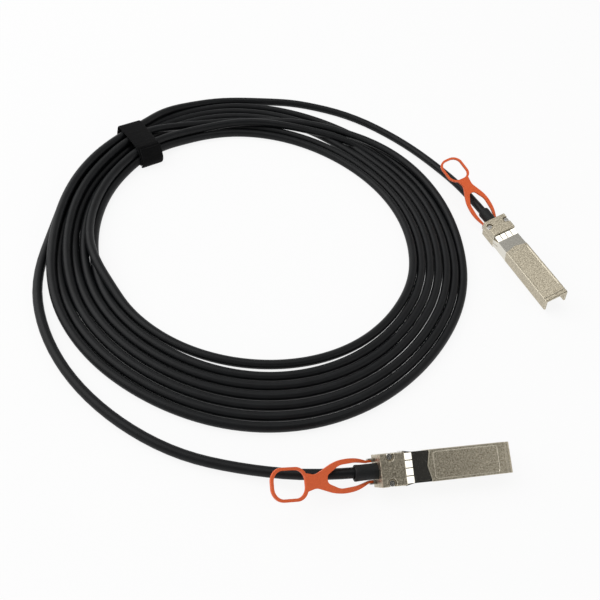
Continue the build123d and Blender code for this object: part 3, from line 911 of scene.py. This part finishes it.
def moulded_epoxy():
    """Black epoxy moulded round the chip: matte, with a fine eroded texture."""
    material, shader = new_material("moulded_epoxy_package", "202124", 0.6)
    place = add_node(material, "ShaderNodeTexCoord").outputs["Object"]
    texture = noise(material, place, 0.2)
    tint(material, shader, texture, "1b1c1f", "27282b")
    add_bump(material, shader, texture, 0.02 * mm, 0.4)
    return material


finishes["card_laminate"] = dyed_laminate()
finishes["chip_moulding"] = moulded_epoxy()
# Aluminium foil wrapped round each pair: bright and creased
finishes["pair_jacket"] = worked_metal("wrapped_aluminium_foil", "c9cacc", 0.3, 0.7, 0.08)
node_slots = {
    "top_shell": "cast_shell",
    "bottom_shell": "cast_shell",
    "emi_collar": "spring_finger_sheet",
    "screws": "screw_steel",
    "crimp_ferrule": "crimp_metal",
    "release_slider": "slider_steel",
    "return_spring": "spring_wire",
    "circuit_card": "card_laminate",
    "contact_pads": "gold_plate",
    "memory_chip": "chip_moulding",
    "wire_pairs": "pair_jacket",
}
for name, slot in node_slots.items():
    for plug in plugs:
        node = nodes[f"{name}_{plug}"]
        node.data.materials.clear()
        node.data.materials.append(finishes[slot])
print("dressed", 2 * len(node_slots), "packed nodes")

# %% [markdown]
# ## Cast edges
#
# A casting comes out of its die with every edge slightly round, and the plate on it
# catches the light there as a fine bright line. So the two shells of each plug get the
# same merged copy as the tabs, with edges rounded by a tenth of a millimetre.

# %% Round the shells' edges
cast_edge = 0.12
for plug in plugs:
    for name in ("top_shell", "bottom_shell"):
        shell = soft_copy(
            f"cast_{name}_{plug}",
            f"{name}_{plug}",
            "cable_and_plugs",
            finishes["cast_shell"],
            cast_edge,
        )
        print(shell.name, "faces before the bevel:", len(shell.data.polygons))

# %% [markdown]
# ## Spring fingers
#
# The collar's fingers spring outwards as straight blades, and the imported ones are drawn
# with a slight arch. On polished sheet an arch smears what it mirrors, so the copy's
# fingers are pressed flat: each of their points sinks by the arch's height there, which is a
# parabola along the finger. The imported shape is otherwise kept.

# %% Straighten the fingers
# In mm, in a plug's own frame: a finger's ends along the plug, the height of its arch, and
# the sides of the collar's box
finger_stations = (11.5, 15.4)
arch_height = 0.185
sheet_edge = 0.04
collar_side, collar_top, collar_floor = 6.6, 8.2, 0.0


def straighten_fingers(collar, plug):
    """Lowers a point at a share t of the way along a finger by 4 t (1 - t) arch heights,
    towards the side of the collar's box that it lies nearest."""
    place = np.empty(len(collar.data.vertices) * 3)
    collar.data.vertices.foreach_get("co", place)
    origin, axes = plug
    own = (place.reshape(-1, 3) / mm - origin) @ axes.T
    share = np.clip((own[:, 0] - finger_stations[0]) / np.diff(finger_stations), 0, 1)
    across, up = own[:, 1], own[:, 2]
    beyond = np.column_stack(
        [across - collar_side, -collar_side - across, up - collar_top, collar_floor - up]
    )
    side = np.argmax(beyond, axis=1)
    outward = np.array([[0, 1, 0], [0, -1, 0], [0, 0, 1], [0, 0, -1]])[side]
    own -= (4 * share * (1 - share) * arch_height)[:, None] * outward
    collar.data.vertices.foreach_set("co", ((origin + own @ axes) * mm).ravel())
    collar.data.update()


for name, plug in plugs.items():
    collar = soft_copy(
        f"spring_collar_{name}",
        f"emi_collar_{name}",
        "cable_and_plugs",
        finishes["spring_finger_sheet"],
        sheet_edge,
    )
    straighten_fingers(collar, plug)
    print(collar.name, "faces before the bevel:", len(collar.data.polygons))

# %% [markdown]
#
# It leaves plug A's rear face on the cable's axis, and its far end goes into plug B. The
# strap and its lap lie on it.

# %% [markdown]
# ## Floor and light
#
# The product stands in a white studio. The floor is plain and pale and keeps the soft
# shadow. The world is a white room with one dark area overhead, towards the front,
# because metal and black plastic only show their shape when something dark is
# reflected beside something light. One large lamp behind and above makes the
# long highlights along the cable, and two small ones light the plugs' spring fingers.

# %% Floor
floor_size = 6.0
# Share of plain white that the camera and reflections see on the floor
glow_share = 0.88


def painted_floor():
    """Matte white studio paint. For rays from the camera, and for reflected ones, most of
    what they see is plain white light, so the floor reads as white and its shadows
    stay faint."""
    material, shader = new_material("matte_white_floor_paint", "f6f6f6", 0.95)
    shader.inputs["Specular IOR Level"].default_value = 0.1
    ray = add_node(material, "ShaderNodeLightPath").outputs
    seen = ray["Is Camera Ray"]
    for kind in ("Is Glossy Ray", "Is Transmission Ray"):
        seen = add_node(
            material, "ShaderNodeMath", {"operation": "MAXIMUM"}, links={0: seen, 1: ray[kind]}
        ).outputs["Value"]
    share = add_node(
        material, "ShaderNodeMath", {"operation": "MULTIPLY"}, {1: glow_share}, {0: seen}
    )
    glow = add_node(
        material,
        "ShaderNodeEmission",
        inputs={"Color": hex_colour("ffffff"), "Strength": 1.0},
    )
    mixed = add_node(
        material,
        "ShaderNodeMixShader",
        links={
            "Fac": share.outputs["Value"],
            1: shader.outputs["BSDF"],
            2: glow.outputs["Emission"],
        },
    )
    surface = material.node_tree.nodes["Material Output"].inputs["Surface"]
    material.node_tree.links.new(mixed.outputs["Shader"], surface)
    return material


floor_mesh = bpy.data.meshes.new("floor")
half = floor_size / 2
corners = [(-half, -half, 0), (half, -half, 0), (half, half, 0), (-half, half, 0)]
floor_mesh.from_pydata(corners, [], [(0, 1, 2, 3)])
floor = bpy.data.objects.new("floor", floor_mesh)
floor_mesh.materials.append(painted_floor())
bpy.context.scene.collection.objects.link(floor)
floor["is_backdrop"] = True
print("floor", floor_size, "m across")


# %% Room and lamps
def studio_world(horizon, overhead, dark_centre, dark_level):
    """The room's brightness by direction. It falls from the horizon's to the overhead
    level as the direction's height goes from 0.15 to 0.55, and it is multiplied by
    dark_level inside a soft-edged circle round dark_centre, where the cosine of the
    angle to that centre goes from 0.88 to 0.975."""
    world = bpy.data.worlds.new("studio")
    world.use_nodes = True
    bpy.context.scene.world = world
    direction = add_node(world, "ShaderNodeTexCoord").outputs["Generated"]
    upward = add_node(world, "ShaderNodeSeparateXYZ", links={"Vector": direction}).outputs["Z"]
    ceiling = add_node(
        world,
        "ShaderNodeMapRange",
        {"interpolation_type": "SMOOTHSTEP"},
        {"From Min": 0.15, "From Max": 0.55, "To Min": horizon, "To Max": overhead},
        {"Value": upward},
    )
    centre = Vector(dark_centre).normalized()
    facing = add_node(
        world,
        "ShaderNodeVectorMath",
        {"operation": "DOT_PRODUCT"},
        {1: centre},
        {0: direction},
    )
    flag = add_node(
        world,
        "ShaderNodeMapRange",
        {"interpolation_type": "SMOOTHSTEP"},
        {"From Min": 0.88, "From Max": 0.975, "To Min": 1.0, "To Max": dark_level},
        {"Value": facing.outputs["Value"]},
    )
    level = add_node(
        world,
        "ShaderNodeMath",
        {"operation": "MULTIPLY"},
        links={0: ceiling.outputs["Result"], 1: flag.outputs["Result"]},
    )
    background = world.node_tree.nodes["Background"]
    background.inputs["Color"].default_value = hex_colour("ffffff")
    world.node_tree.links.new(level.outputs["Value"], background.inputs["Strength"])


def area_lamp(name, place, aim, size, watts):
    """A square soft box at a place, facing a point."""
    light = bpy.data.lights.new(name, "AREA")
    light.size = size
    light.energy = watts
    lamp = bpy.data.objects.new(name, light)
    lamp.location = place
    lamp.rotation_mode = "QUATERNION"
    lamp.rotation_quaternion = (Vector(aim) - Vector(place)).to_track_quat("-Z", "Y")
    bpy.context.scene.collection.objects.link(lamp)


studio_world(1.0, 0.42, (0.42, -0.45, 0.79), 0.06)
area_lamp("key", (-0.95, 0.5, 1.1), (-0.06, 0.04, 0), 1.6, 15.0)
area_lamp("side_box", (0.79, -0.52, 0.78), (-0.03, -0.09, 0.01), 0.4, 0.9)
area_lamp("top_box", (0.13, 0.22, 1.2), (0.07, 0.04, 0.01), 0.4, 0.9)
bpy.context.scene.view_settings.view_transform = "Standard"

# %% Boxes and finish
size = {"cad": cad_box, "visual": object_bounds()}
size = {name: [[float(c) for c in corner] for corner in box] for name, box in size.items()}
rounded = {name: (np.array(box) / mm).round(1).tolist() for name, box in size.items()}
print("boxes in mm:", rounded)
